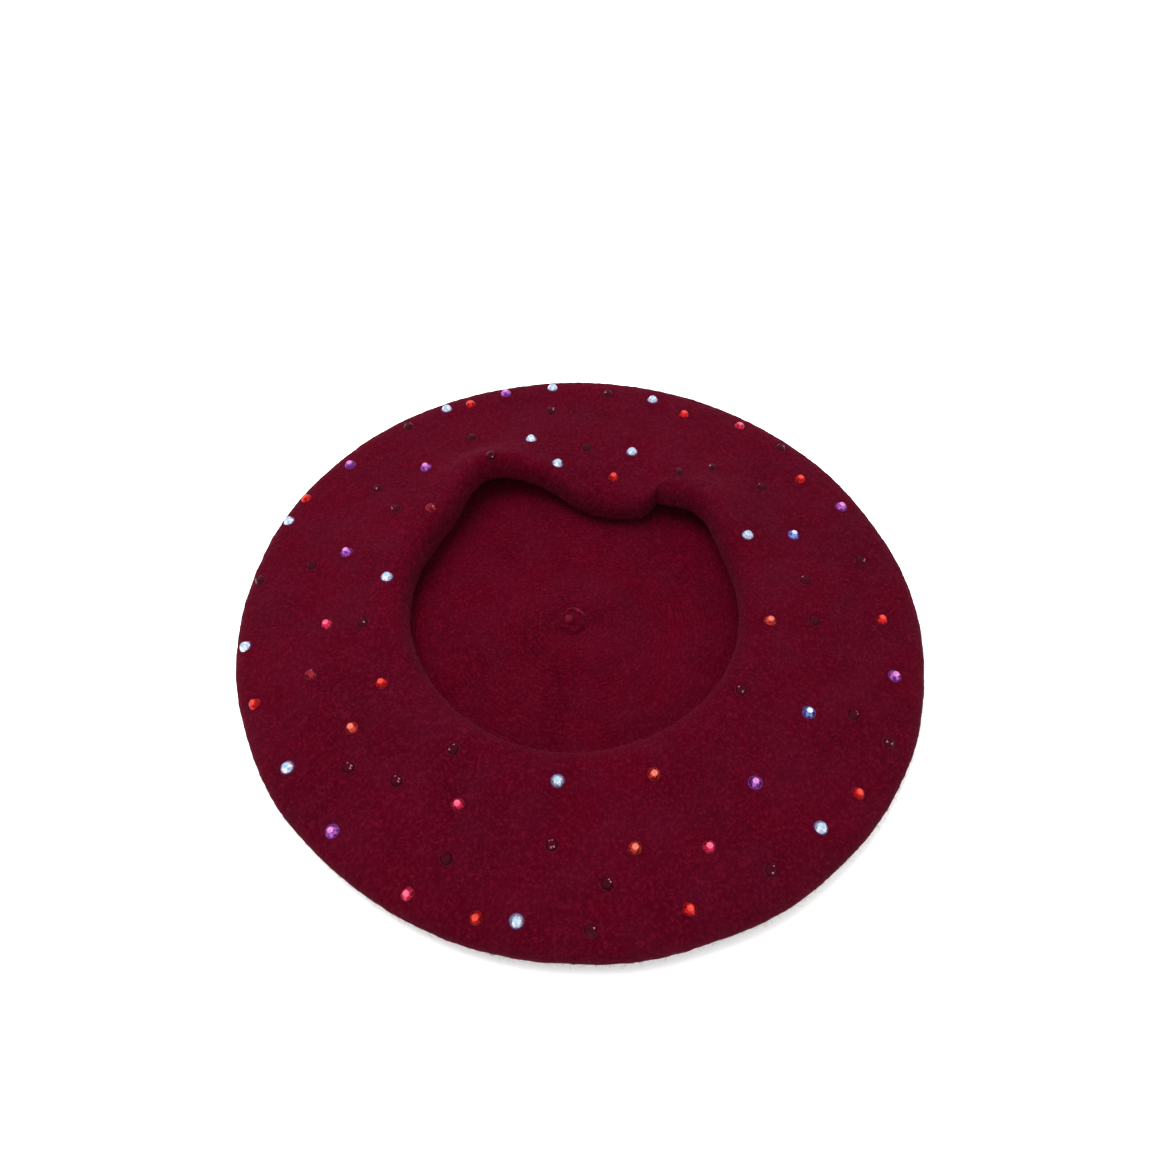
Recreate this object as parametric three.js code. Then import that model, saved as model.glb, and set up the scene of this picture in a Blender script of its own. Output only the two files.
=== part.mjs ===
// A wool beret lying on its crown, with its underside and head opening facing up.
// Millimetres, +Z up. The origin is under the middle of the hat, on the plane that the crown rests on.
// Ring radii and angles (degrees, counter-clockwise from +X) are those of the hat before it is draped.

import * as THREE from 'three';
import { mergeVertices } from 'three/addons/utils/BufferGeometryUtils.js';

// Driving dimensions.
const RIM_RADIUS = 140;
const RIM_HEIGHT = 9;
const CREST_RADIUS = 75.5;
const CREST_HEIGHT = 21.5;
const LIP_RADIUS = 67;
const LIP_HEIGHT = 12.5;
const FELT = 2.2;
const GAP = 0.3;

// The rim is slightly oval: widest across this direction, by this share of its radius.
const OVAL_SHARE = 0.012;
const OVAL_ANGLE = 142;

// The crown: flat where the hat rests, hollowed at its middle for the folded stalk.
const REST_RADIUS = 118;
const HOLLOW_DEPTH = 3;
const HOLLOW_RADIUS = 13;
const HOLLOW_EDGE = 32;

// The turned-in hem of the head opening.
const HEM_EDGE_RADIUS = 82.5;
const HEM_EDGE_HEIGHT = 8.6;
const HEM_TURN_RADIUS = 72;
const HEM_TURN_HEIGHT = 8;

// The curved stretches of the felt's outlines, as [radius, height]: where each ends, and the two points
// that bend it on its way there.
const CROWN_EDGE = {
  bend: [[130, 0], [RIM_RADIUS, 3.5]],
  end: [RIM_RADIUS, RIM_HEIGHT - GAP / 2],
};
const UNDERSIDE_SHOULDER = {
  bend: [[RIM_RADIUS, 14.2], [134, 15.9]],
  end: [124, 16.4],
};
const UNDERSIDE_RISE = {
  bend: [[108, 17.2], [99, 18.6]],
  end: [90, 20.2],
};
const CREST_APPROACH = {
  bend: [[86, 20.9], [80, CREST_HEIGHT]],
  end: [CREST_RADIUS, CREST_HEIGHT],
};
const LIP_TOP = {
  bend: [[70.5, CREST_HEIGHT], [67.6, 18]],
  end: [LIP_RADIUS, LIP_HEIGHT],
};
const LIP_TURN = {
  bend: [[66.2, 9.6], [68.6, 8]],
  end: [HEM_TURN_RADIUS, HEM_TURN_HEIGHT],
};

// The elastic and the stitches of the hem.
const ELASTIC_RADIUS = 1;
const ELASTIC_RING = 71.8;
const ELASTIC_HEIGHT = 12.6;
const THREAD_RADIUS = 0.35;
const THREAD_RING = 79;

// The lip as it lies: its ring is off the hat's middle, towards +Y. Stretches of it stand out from the ring
// (or in) and up, each with its half-width in degrees, and one stretch droops into the hat, with a short
// crease on one side and a gentle slope on the other. Nothing outside LIP_REACH is moved by any of this.
const LIP_REACH = 104;
const LIP_OFFSET = 5;
const LIP_LOBES = [
  { angle: 122, out: 11, up: 3.5, width: 15 },
  { angle: 42, out: 4, up: 3, width: 14 },
  { angle: 56, out: -2, up: -0.5, width: 8 },
  { angle: 15, out: -1, up: 0, width: 28 },
  { angle: 180, out: 3, up: 0, width: 35 },
  { angle: 250, out: 4, up: 0, width: 45 },
];
const DROOP_DEPTH = 4.5;
const DROOP_PULL = 15;
const DROOP_CREASE = { angle: 62, width: 1, spread: 6 };
const DROOP_SLOPE = { angle: 97.5, width: 4.8 };

// The stalk and the pucker, at the middle of the knitting, a little off the hat's centre.
const MIDDLE_X = -3.5;
const STALK_LENGTH = 12;
const STALK_RADIUS = 1.6;
const STALK_FLATTENING = 0.75;
const STALK_HEIGHT = 1.5;
const STALK_SIDES = 10;
const KNOT_RADIUS = 4.6;
const KNOT_HEIGHT = 1.6;
const KNOT_FOLDS = 5;
const KNOT_FOLD_DEPTH = 0.09;
const KNOT_TWIST = 0.33;
const KNOT_STEPS = 24;

// The stalk's radius at shares of its length, and the pucker's profile as shares of its radius and height.
const STALK_PROFILE = [[1.25, 0.5], [1.35, 0.85], [0.8, 0.975], [0, 1]];
const KNOT_PROFILE = [[0, 0], [1, 0], [0.86, 0.55], [0.5, 1], [0.2, 0.8], [0, 0.45]];

// Flat-backed rhinestones of 4.7 mm.
const STONE_RADIUS = 2.35;
const STONE_TABLE = 1.3;
const STONE_HEIGHT = 1.9;
const STONE_FACETS = 8;

// Fineness of the solids.
const RING_STEPS = 60;
const CURVE_STEPS = 3;

const FELT_OUTSIDE = new THREE.MeshStandardMaterial({ color: 0x5e1023, roughness: 0.95 });
const FELT_INSIDE = new THREE.MeshStandardMaterial({ color: 0x5a0018, roughness: 0.9 });
const ELASTIC_BRAID = new THREE.MeshStandardMaterial({ color: 0x1c0a0e, roughness: 0.85 });
const THREAD = new THREE.MeshStandardMaterial({ color: 0x4a0a18, roughness: 0.7 });

// Where each rhinestone is fixed, as [ring radius, angle], by colour.
const RHINESTONES = {
  crystal: {
    color: 0xdfe4f2,
    places: [
      [132, 119], [135, 160], [77, 175], [135, 188], [130, 214], [81, 265], [130, 261],
      [127, 312], [78, 22], [132, 96], [128, 74], [94, 104], [78, 98], [91, 74],
    ],
  },
  red: {
    color: 0xb01428,
    places: [
      [130, 114], [135, 154], [76, 146], [110, 198], [85, 209], [133, 200], [132, 255],
      [129, 287], [129, 321], [123, 357], [123, 66], [123, 35], [79, 77],
    ],
  },
  orange: {
    color: 0xd8583c,
    places: [[103, 214], [83, 289], [105, 281], [78, 349]],
  },
  pink: {
    color: 0xc83c6a,
    places: [[102, 186], [98, 244], [133, 244], [112, 294], [130, 54]],
  },
  violet: {
    color: 0x9c4ca8,
    places: [[131, 143], [102, 133], [102, 165], [131, 228], [101, 309], [127, 345], [129, 25], [132, 106]],
  },
  blue: {
    color: 0x6f7fc4,
    places: [[100, 330], [99, 21]],
  },
  garnet: {
    color: 0x2c040c,
    places: [[131, 128], [110, 145], [134, 174], [103, 230], [103, 265], [116, 275], [131, 272], [73, 119]],
  },
};

const DEGREE = Math.PI / 180;

// The angle from another one, from -180 to 180 degrees.
function turnFrom(angle, other) {
  return THREE.MathUtils.euclideanModulo(angle - other + 180, 360) - 180;
}

// How much of the droop there is at an angle, from 0 to 1. The crease is sharp at the lip, where the share
// of the lip's movement is 1, and fades away from it.
function droopShare(angle, share) {
  const creaseWidth = DROOP_CREASE.width + DROOP_CREASE.spread * (1 - share);
  const creased = 1 / (1 + Math.exp(-turnFrom(angle, DROOP_CREASE.angle) / creaseWidth));
  const gentle = 1 / (1 + Math.exp(turnFrom(angle, DROOP_SLOPE.angle) / DROOP_SLOPE.width));
  return creased * gentle;
}

// How far the lobes move the lip at an angle, 'out' from its ring or 'up'.
function lobeShift(angle, way) {
  return LIP_LOBES.reduce((sum, lobe) => {
    const away = turnFrom(angle, lobe.angle) / lobe.width;
    return sum + lobe[way] * Math.exp(-(away ** 2));
  }, 0);
}

// Moves a point of the round hat to where it lies on the oval hat.
function makeOval(point) {
  const radius = Math.hypot(point.x, point.y);
  const angle = Math.atan2(point.y, point.x) / DEGREE;
  const change = OVAL_SHARE * Math.cos(2 * (angle - OVAL_ANGLE) * DEGREE) * (radius / RIM_RADIUS);
  point.multiply(new THREE.Vector3(1 + change, 1 + change, 1));
}

// Moves a point of the round underside to where it lies on the draped one.
function drape(point) {
  const radius = Math.hypot(point.x, point.y);
  const angle = Math.atan2(point.y, point.x) / DEGREE;
  const share = 1 - THREE.MathUtils.smoothstep(radius, LIP_RADIUS, LIP_REACH);
  const droop = droopShare(angle, share);
  const stretch = 1 + (share * (lobeShift(angle, 'out') - DROOP_PULL * droop)) / radius;
  makeOval(point);
  point.multiply(new THREE.Vector3(stretch, stretch, 1));
  point.y += share * LIP_OFFSET;
  point.z += share * (lobeShift(angle, 'up') - DROOP_DEPTH * droop);
}

function curveAlong(path, { bend, end }) {
  path.bezierCurveTo(...bend[0], ...bend[1], ...end);
}

// The crown's outside, from the middle to the rim.
function crownPath() {
  const path = new THREE.Path();
  const hollowSide = (HOLLOW_RADIUS + HOLLOW_EDGE) / 2;
  path.moveTo(0, HOLLOW_DEPTH);
  path.lineTo(HOLLOW_RADIUS, HOLLOW_DEPTH);
  path.bezierCurveTo(hollowSide, HOLLOW_DEPTH, hollowSide, 0, HOLLOW_EDGE, 0);
  path.lineTo(REST_RADIUS, 0);
  curveAlong(path, CROWN_EDGE);
  return path;
}

// The underside's outside, from the rim over the crest and round the lip to the hem's edge.
function undersidePath() {
  const path = new THREE.Path();
  path.moveTo(RIM_RADIUS, RIM_HEIGHT + GAP / 2);
  curveAlong(path, UNDERSIDE_SHOULDER);
  curveAlong(path, UNDERSIDE_RISE);
  curveAlong(path, CREST_APPROACH);
  curveAlong(path, LIP_TOP);
  curveAlong(path, LIP_TURN);
  path.lineTo(HEM_EDGE_RADIUS, HEM_EDGE_HEIGHT);
  return path;
}

// The points of a path, each with its direction: the ends of straight stretches, more on curved ones.
function samples(path) {
  const found = [{ point: path.curves[0].getPoint(0), along: path.curves[0].getTangent(0) }];
  for (const curve of path.curves) {
    const steps = curve.isLineCurve ? 1 : CURVE_STEPS;
    for (let step = 1; step <= steps; step += 1) {
      found.push({ point: curve.getPoint(step / steps), along: curve.getTangent(step / steps) });
    }
  }
  return found;
}

// The outline of a layer of felt: the path is its outside face, and the felt lies on the path's left.
function feltOutline(path, closed) {
  const outline = [];
  const inside = [];
  for (const { point, along } of samples(path)) {
    outline.push(point);
    inside.unshift(new THREE.Vector2(point.x - along.y * FELT, point.y + along.x * FELT));
  }
  outline.push(...inside);
  if (closed) {
    outline.push(outline[0].clone());
  }
  return outline;
}

// Turns an outline about the hat's axis, and moves each point by the given shaping function.
function turned(outline, steps, shaping) {
  const geometry = new THREE.LatheGeometry(outline, steps);
  geometry.rotateX(90 * DEGREE);
  const positions = geometry.getAttribute('position');
  const point = new THREE.Vector3();
  for (let index = 0; index < positions.count; index += 1) {
    point.fromBufferAttribute(positions, index);
    shaping(point);
    positions.setXYZ(index, point.x, point.y, point.z);
  }
  geometry.deleteAttribute('normal');
  geometry.deleteAttribute('uv');
  const closed = mergeVertices(geometry, 1e-4);
  closed.computeVertexNormals();
  return closed;
}

// A round ring's outline: a closed polygon about a point.
function ringOutline(ringRadius, height, radius, sides) {
  const outline = [];
  for (let side = 0; side <= sides; side += 1) {
    const angle = ((side % sides) * 360 * DEGREE) / sides;
    outline.push(new THREE.Vector2(ringRadius + radius * Math.cos(angle), height + radius * Math.sin(angle)));
  }
  return outline;
}

function named(name, geometry, material) {
  const mesh = new THREE.Mesh(geometry, material);
  mesh.name = name;
  return mesh;
}

function makeCrown() {
  return named('crown', turned(feltOutline(crownPath(), false), RING_STEPS, makeOval), FELT_INSIDE);
}

function makeUnderside() {
  return named('underside', turned(feltOutline(undersidePath(), true), RING_STEPS, drape), FELT_OUTSIDE);
}

function makeHemElastic() {
  const outline = ringOutline(ELASTIC_RING, ELASTIC_HEIGHT, ELASTIC_RADIUS, 6);
  return named('hem_elastic', turned(outline, RING_STEPS, drape), ELASTIC_BRAID);
}

// One ring of stitches, just under the hem's inner face near its edge.
function makeHemStitching() {
  const slope = (HEM_EDGE_HEIGHT - HEM_TURN_HEIGHT) / (HEM_EDGE_RADIUS - HEM_TURN_RADIUS);
  const face = HEM_TURN_HEIGHT + slope * (THREAD_RING - HEM_TURN_RADIUS);
  const outline = ringOutline(THREAD_RING, face - GAP - THREAD_RADIUS, THREAD_RADIUS, 4);
  return named('hem_stitching', turned(outline, RING_STEPS, drape), THREAD);
}

// The stalk lies along +X from its root, flattened between the crown and whatever the hat lies on.
function makeStalk() {
  const outline = [new THREE.Vector2(0, -STALK_RADIUS)];
  for (const angle of [-60, -30, 0]) {
    const across = STALK_RADIUS * Math.cos(angle * DEGREE);
    outline.push(new THREE.Vector2(across, STALK_RADIUS * Math.sin(angle * DEGREE)));
  }
  for (const [radius, share] of STALK_PROFILE) {
    outline.push(new THREE.Vector2(radius, STALK_LENGTH * share));
  }
  const geometry = new THREE.LatheGeometry(outline, STALK_SIDES);
  geometry.scale(1, 1, STALK_FLATTENING);
  const stalk = named('stalk', geometry, FELT_OUTSIDE);
  stalk.rotation.z = -90 * DEGREE;
  stalk.position.set(MIDDLE_X, 0, STALK_HEIGHT);
  return stalk;
}

// The pucker inside the crown: a low dome with folds that swirl towards its middle.
function makeCentreKnot() {
  const outline = KNOT_PROFILE.map(([out, up]) => new THREE.Vector2(KNOT_RADIUS * out, KNOT_HEIGHT * up));
  const swirl = (point) => {
    const radius = Math.hypot(point.x, point.y);
    const twist = Math.atan2(point.y, point.x) + KNOT_TWIST * (KNOT_RADIUS - radius);
    const fold = 1 + KNOT_FOLD_DEPTH * Math.cos(KNOT_FOLDS * twist);
    point.multiply(new THREE.Vector3(fold, fold, 1));
  };
  const knot = named('centre_knot', turned(outline, KNOT_STEPS, swirl), FELT_INSIDE);
  knot.position.set(MIDDLE_X, 0, HOLLOW_DEPTH + FELT + GAP);
  return knot;
}

// Height of the underside's outside above a place.
function feltHeight(underside, x, y) {
  const ray = new THREE.Raycaster(new THREE.Vector3(x, y, 2 * CREST_HEIGHT), new THREE.Vector3(0, 0, -1));
  return ray.intersectObject(underside)[0].point.z;
}

// The point of the draped underside's outside at a ring radius and an angle.
function feltPoint(underside, radius, angle) {
  const point = new THREE.Vector3(radius * Math.cos(angle * DEGREE), radius * Math.sin(angle * DEGREE), 0);
  drape(point);
  point.z = feltHeight(underside, point.x, point.y);
  return point;
}

// How far the felt stands above the flat back of a stone, at its middle and at its corners.
function feltRise(underside, stone) {
  let rise = 0;
  for (let corner = 0; corner < STONE_FACETS; corner += 1) {
    const angle = (corner * 360 * DEGREE) / STONE_FACETS;
    const place = new THREE.Vector3(STONE_RADIUS * Math.sin(angle), 0, STONE_RADIUS * Math.cos(angle));
    place.applyQuaternion(stone.quaternion).add(stone.position);
    rise = Math.max(rise, feltHeight(underside, place.x, place.y) - place.z);
  }
  return rise;
}

// One rhinestone, its flat back along the felt where it is fixed.
function makeRhinestone(underside, name, material, radius, angle) {
  const outline = [
    new THREE.Vector2(0, 0),
    new THREE.Vector2(STONE_RADIUS, 0),
    new THREE.Vector2(STONE_TABLE, STONE_HEIGHT),
    new THREE.Vector2(0, STONE_HEIGHT),
  ];
  const stone = named(name, new THREE.LatheGeometry(outline, STONE_FACETS), material);
  const turn = STONE_RADIUS / radius / DEGREE;
  const inner = feltPoint(underside, radius - STONE_RADIUS, angle);
  const outer = feltPoint(underside, radius + STONE_RADIUS, angle);
  const before = feltPoint(underside, radius, angle - turn);
  const after = feltPoint(underside, radius, angle + turn);
  const up = outer.sub(inner).cross(after.sub(before)).normalize();
  stone.quaternion.setFromUnitVectors(new THREE.Vector3(0, 1, 0), up);
  stone.position.copy(feltPoint(underside, radius, angle));
  stone.position.addScaledVector(up, feltRise(underside, stone) + GAP);
  return stone;
}

function makeRhinestones(underside) {
  const stones = new THREE.Group();
  for (const [colour, { color, places }] of Object.entries(RHINESTONES)) {
    const material = new THREE.MeshStandardMaterial({ color, roughness: 0.12, metalness: 0.3 });
    places.forEach(([radius, angle], index) => {
      const number = String(index + 1).padStart(2, '0');
      stones.add(makeRhinestone(underside, `rhinestone_${colour}_${number}`, material, radius, angle));
    });
  }
  return stones;
}

const underside = makeUnderside();
const beret = new THREE.Group();
beret.add(makeCrown());
beret.add(underside);
beret.add(makeHemElastic());
beret.add(makeHemStitching());
beret.add(makeStalk());
beret.add(makeCentreKnot());
beret.add(makeRhinestones(underside));

export default beret;
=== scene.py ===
"""A wine-red wool beret with heat-fixed rhinestones, lying on its crown with its head opening facing up.

Shapes are worked out in millimetres in the frame's axes, and become metres when a mesh is made.
Ring radii and angles (degrees, counter-clockwise from +X) are those of the hat before it is draped.
"""

import math

import bpy
import numpy as np
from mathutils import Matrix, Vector
from mathutils.bvhtree import BVHTree


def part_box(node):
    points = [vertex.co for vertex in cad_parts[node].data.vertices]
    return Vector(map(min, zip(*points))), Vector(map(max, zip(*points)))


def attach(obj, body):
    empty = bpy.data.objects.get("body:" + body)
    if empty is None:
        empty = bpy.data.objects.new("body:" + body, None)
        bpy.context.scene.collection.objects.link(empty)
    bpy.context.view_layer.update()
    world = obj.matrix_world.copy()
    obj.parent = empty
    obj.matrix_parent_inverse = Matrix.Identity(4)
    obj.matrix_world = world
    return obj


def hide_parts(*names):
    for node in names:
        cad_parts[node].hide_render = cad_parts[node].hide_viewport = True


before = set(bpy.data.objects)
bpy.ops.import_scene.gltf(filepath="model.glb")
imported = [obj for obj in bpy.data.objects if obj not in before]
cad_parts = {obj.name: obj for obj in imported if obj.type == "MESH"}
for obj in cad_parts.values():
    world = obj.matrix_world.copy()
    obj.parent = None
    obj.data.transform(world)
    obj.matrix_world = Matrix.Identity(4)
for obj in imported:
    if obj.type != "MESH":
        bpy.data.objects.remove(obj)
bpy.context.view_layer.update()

MM = 0.001

# The felt shell, as the frame's crown and underside have it.
RIM_RADIUS = 140.0
RIM_HEIGHT = 9.0
REST_RADIUS = 118.0
REST_END = 130.0
HOLLOW_DEPTH = 3.0
HOLLOW_RADIUS = 13.0
HOLLOW_EDGE = 32.0
CREST_RADIUS = 75.5
CREST_HEIGHT = 21.5
LIP_RADIUS = 67.0
LIP_HEIGHT = 12.5
HEM_TURN = (72.0, 8.0)
HEM_EDGE = (82.5, 8.6)
FELT = 2.2
SEEN_INSIDE_RADIUS = 92.0

# Each stretch of the felt's outside, from the middle of the crown to the hem's edge: its two ends, with two
# points that bend it if it is curved, and how far apart its rings are on the outside and on the inside.
CROWN_STRETCHES = [
    ([(0, HOLLOW_DEPTH), (HOLLOW_RADIUS, HOLLOW_DEPTH)], 1.3, 0.7),
    ([(HOLLOW_RADIUS, HOLLOW_DEPTH), (22.5, HOLLOW_DEPTH), (22.5, 0), (HOLLOW_EDGE, 0)], 1.3, 0.7),
    ([(HOLLOW_EDGE, 0), (SEEN_INSIDE_RADIUS, 0)], 1.5, 0.7),
    ([(SEEN_INSIDE_RADIUS, 0), (REST_RADIUS, 0)], 1.5, 2.5),
    ([(REST_RADIUS, 0), (REST_END, 0), (RIM_RADIUS, 3.5), (RIM_RADIUS, RIM_HEIGHT)], 0.9, 2.5),
]
UNDERSIDE_STRETCHES = [
    ([(RIM_RADIUS, RIM_HEIGHT), (RIM_RADIUS, 14.2), (134, 15.9), (124, 16.4)], 0.8, 2.5),
    ([(124, 16.4), (108, 17.2), (99, 18.6), (90, 20.2)], 0.75, 2.5),
    ([(90, 20.2), (86, 20.9), (80, CREST_HEIGHT), (CREST_RADIUS, CREST_HEIGHT)], 0.7, 2.0),
    ([(CREST_RADIUS, CREST_HEIGHT), (70.5, CREST_HEIGHT), (67.6, 18), (LIP_RADIUS, LIP_HEIGHT)], 0.6, 1.2),
    ([(LIP_RADIUS, LIP_HEIGHT), (66.2, 9.6), (68.6, 8.0), HEM_TURN], 0.6, 1.2),
    ([HEM_TURN, HEM_EDGE], 1.2, 2.0),
]
RING_POINTS = 720
POLE_REACH = 0.4

# The rim is slightly oval: widest across this direction, by this share of its radius.
OVAL_SHARE = 0.012
OVAL_ANGLE = 142.0

# The lip as it lies: stretches that stand out from its round ring (or in), each with its half-width in
# degrees, and one stretch that droops into the hat. On its side towards +X the droop starts at a crease,
# where the felt leans over by the fold's degrees, and its pull inwards is full past the rounding's reach.
LIP_REACH = 104.0
LIP_LOBES = [
    {"angle": 122, "out": 11, "up": 3.5, "width": 15},
    {"angle": 42, "out": 4, "up": 3, "width": 14},
    {"angle": 56, "out": -2, "up": -0.5, "width": 8},
    {"angle": 15, "out": -1, "up": 0, "width": 28},
    {"angle": 180, "out": 3, "up": 0, "width": 35},
    {"angle": 250, "out": 4, "up": 0, "width": 45},
]
LIP_OFFSET = 5.0
DROOP_DEPTH = 4.5
DROOP_PULL = 15.0
DROOP_CREASE = {"angle": 62.0, "width": 1.0, "spread": 6.0}
DROOP_SLOPE = {"angle": 97.5, "width": 4.8}
DROOP_FOLD = 2.6
DROOP_ROUNDING = {"share": 0.22, "reach": 14.0}

# How the soft felt lies: broad waves, dimples, ripples of the rim, and a shallow valley outside the near
# crest. Then the relief of its surface, and the faint courses of the knitting on the inside.
WAVE_SIZE = 55.0
WAVE_HEIGHT = 0.8
WAVE_END = 122.0
RIPPLE_SIZE = 26.0
RIPPLE_SHARE = 0.0035
DIMPLE_SIZE = 15.0
DIMPLE_HEIGHT = 0.35
VALLEY = {"angle": 290, "width": 55, "radius": 93, "reach": 9, "depth": 1.5}
TUFT_SIZE = 3.2
TUFT_HEIGHT = 0.16
NAP_SIZE = 1.3
NAP_HEIGHT = 0.16
KNIT_PITCH = 1.9
KNIT_HEIGHT = 0.05
KNIT_WANDER_SIZE = 14.0
KNIT_WANDER = 2.5
INSIDE_RELIEF = 0.45
RESTING_RELIEF = 0.2

# Loose fibres of the brushed wool. A share of them stand up; the rest lie almost flat. Each bends once, where
# it has risen by a share of its length and its lift, and the tip of a lying one drops back to the felt.
FIBRE_COUNT = 30000
FIBRE_RADIUS = (0.02, 0.05)
FIBRE_LENGTH = (1.2, 3.8)
FIBRE_STANDING = 0.3
FIBRE_LIFT = {"standing": (0.3, 0.85), "lying": (0.02, 0.16)}
FIBRE_BEND = {"rise": 0.55, "clear": 0.12, "taper": 0.8}
FIBRE_TIP = {"rise": 0.2, "drop": 0.1}
FIBRE_CURL = 0.7
FIBRE_SCATTER = 0.4
FIBRE_ROOT = 0.15
FIBRE_STONE_GAP = 0.7
FIBRE_INSIDE = {"radius": 80, "density": 0.45, "shortening": 0.45}
FIBRE_LOWEST = 0.02
FIBRE_TONE_SIZE = 6.0

# Rhinestones: flat-backed stones of 4.7 mm with eight-fold facets, each on a dot of adhesive.
STONE_RADIUS = 2.35
STONE_HEIGHT = 1.9
TABLE_SHARE = 0.5
STAR_SHARE = 0.76
GIRDLE_HEIGHT = 0.3
# The adhesive dot shows as a rim round each stone in the stone's edge tone: a real dot of adhesive, with its
# dark tone a painted shadow round the stone on most looks. It shows wider round the crystal, violet and blue
# stones.
GLUE_RADIUS = 2.42
WIDE_GLUE_RADIUS = 2.65
WIDE_GLUE_KINDS = ("crystal", "violet", "blue")
GLUE_HEIGHT = 0.14
GLUE_FLARE = 0.05
GLUE_INSET = 0.2
GLUE_SIDES = 24
STONE_SINK = 0.25

# A stone's material slots, and how often a facet of each part is a light one or, on a dark stone, a glint:
# painted reflection, shade and highlight on the facets.
TABLE, LIGHT, DARK, EDGE, GLINT, ADHESIVE = range(6)
LIGHT_ODDS = {"star": 0.8, "kite": 0.55, "break": 0.3}
GLINT_ODDS = 0.2

# How metallic the stones are, and how much they mirror. Each tone is clouded with a darker one of the foil.
BRIGHT_SHINE = (0.85, 0.3)
DARK_SHINE = (0.3, 0.05)
FOIL_DARKENING = 0.72
TINT_SIZE = 1.1
ADHESIVE_LIGHTENING = 14

# More dark stones than the frame has, as (ring radius, angle).
DARK_STONES = [
    (107, 118), (93, 149), (114, 170), (86, 189), (82, 237), (112, 221), (117, 247), (128, 301),
    (95, 354), (77, 323), (115, 334), (130, 332), (131, 44), (96, 51), (83, 57), (104, 38),
    (122, 11), (94, 6), (128, 84), (115, 97), (90, 88),
]

# The colours of each look of stone, as screen values: the table, the light facets, the dark ones and the
# edge, whose tone is the adhesive's too. Beside the stones' own gloss, these are painted light and shade: the
# table and the light facets a painted reflection, the dark facets painted shade, and on most looks the dark
# edge and adhesive a painted shadow round the stone. The glint of a dark look has its own tone, a painted
# highlight.
STONE_TONES = {
    "crystal": [(153, 183, 208), (206, 210, 219), (157, 166, 189), (40, 26, 66)],
    "red": [(204, 67, 56), (188, 23, 26), (132, 7, 14), (84, 0, 10)],
    "orange": [(205, 108, 94), (189, 58, 49), (140, 29, 27), (96, 8, 12)],
    "pink": [(208, 92, 120), (188, 35, 72), (132, 12, 39), (84, 0, 24)],
    "violet": [(197, 122, 186), (158, 84, 165), (97, 35, 115), (62, 12, 72)],
    "blue": [(193, 202, 225), (112, 126, 193), (63, 65, 135), (44, 24, 70)],
    "garnet": [(44, 1, 14), (56, 2, 17), (52, 1, 15), (56, 1, 14)],
    "dull": [(98, 17, 30), (120, 30, 42), (72, 5, 18), (56, 2, 15)],
}
GLINT_TONES = {"garnet": (158, 84, 106), "dull": (182, 92, 104)}

# Stones of the frame that catch little light, and so take the dull look.
DULL_STONES = ("rhinestone_red_03", "rhinestone_red_04")

# The pucker in the middle of the crown, and the stalk on its other side.
PUCKER_RADIUS = 7.6
PUCKER_TOP = 4.4
PUCKER_HEIGHT = 1.7
PUCKER_DEPTH = 1.2
PUCKER_ROWS = 40
PUCKER_COLUMNS = 120
PUCKER_BLOB = {"x": -1.3, "y": 0.3, "radius": 1.6, "height": 0.9}
PUCKER_DIP = {"x": 0.9, "y": -2.7, "radius": 1.9, "height": -1.5}
PUCKER_SWIRL = {"arms": 5, "twist": 24, "radius": 3.6, "reach": 1.8, "height": 0.25}
PUCKER_FOLD = {"angle": 62, "width": 48, "radius": 5.3, "reach": 0.75, "height": 1.2}
PUCKER_EDGE = {"radius": 6.0, "sink": 0.5}
# Above this share of its height the fold takes the lighter felt, a painted highlight.
PUCKER_HIGHLIGHT_SHARE = 0.35
PUCKER_RELIEF = 0.12
PUCKER_RELIEF_SIZE = 0.9
STALK_FLATTENING = 0.75
STALK_ENDS = (1.4, 0.2)
STALK_STEPS = 60
STALK_SIDES = 28

# The stalk's relief, as (share of its thickness, size, seed).
STALK_RELIEF = [(0.09, 0.9, 29), (0.05, 0.4, 31)]

# The stalk's radius at shares of its length, from its root to its tip.
STALK_PROFILE = [(0.0, 1.2), (0.06, 1.5), (0.14, 1.6), (0.5, 1.25), (0.85, 1.35), (0.95, 1.1), (0.99, 0.6)]

# The hem's elastic and stitches.
ELASTIC_RING = 71.8
ELASTIC_HEIGHT = 12.6
ELASTIC_RADIUS = 1.0
ELASTIC_STEPS = 900
ELASTIC_SIDES = 12
ELASTIC_BRAIDS = 75
BRAID_RELIEF = 0.07
THREAD_RING = 79.0
THREAD_RADIUS = 0.35
STITCHES = 118
STITCH_SHARE = 0.34
STITCH_GAP = 0.15
STITCH_ARCH = 1.1
STITCH_POINTS = 9
STITCH_SIDES = 8

# The felt's tones come from noises of these sizes, and from streaks (across and along) on the hat's radii.
# Then the shares of the clouds, the tufts, the cool tone and the light one, and how the felt takes light.
CLOUD_SIZE = 28
TUFT_TONE_SIZE = 3.4
FLECK_SIZE = 1.3
COOL_SIZE = 17
STREAK_SIZE = (0.55, 5.0)
STREAK_FLARE = 0.09
STREAK_START = 4.0
COURSE_WANDER_SIZE = 9
COURSE_WANDER = 5.0
CLOUD_SHARE = 0.35
TUFT_SHARE = 0.3
COOL_SHARE = 0.4
FLECK_SHARE = 0.6
FELT_SPECULAR = 0.02
FELT_SHEEN = 0.042
SHEEN_ROUGHNESS = 0.5
SHEEN_TONE = (235, 110, 150)

# The camera, in millimetres and degrees.
CAMERA_PLACE = (3.66, -225.9, 341.1)
CAMERA_PITCH = 54.1
CAMERA_LENS = 29.45

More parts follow.
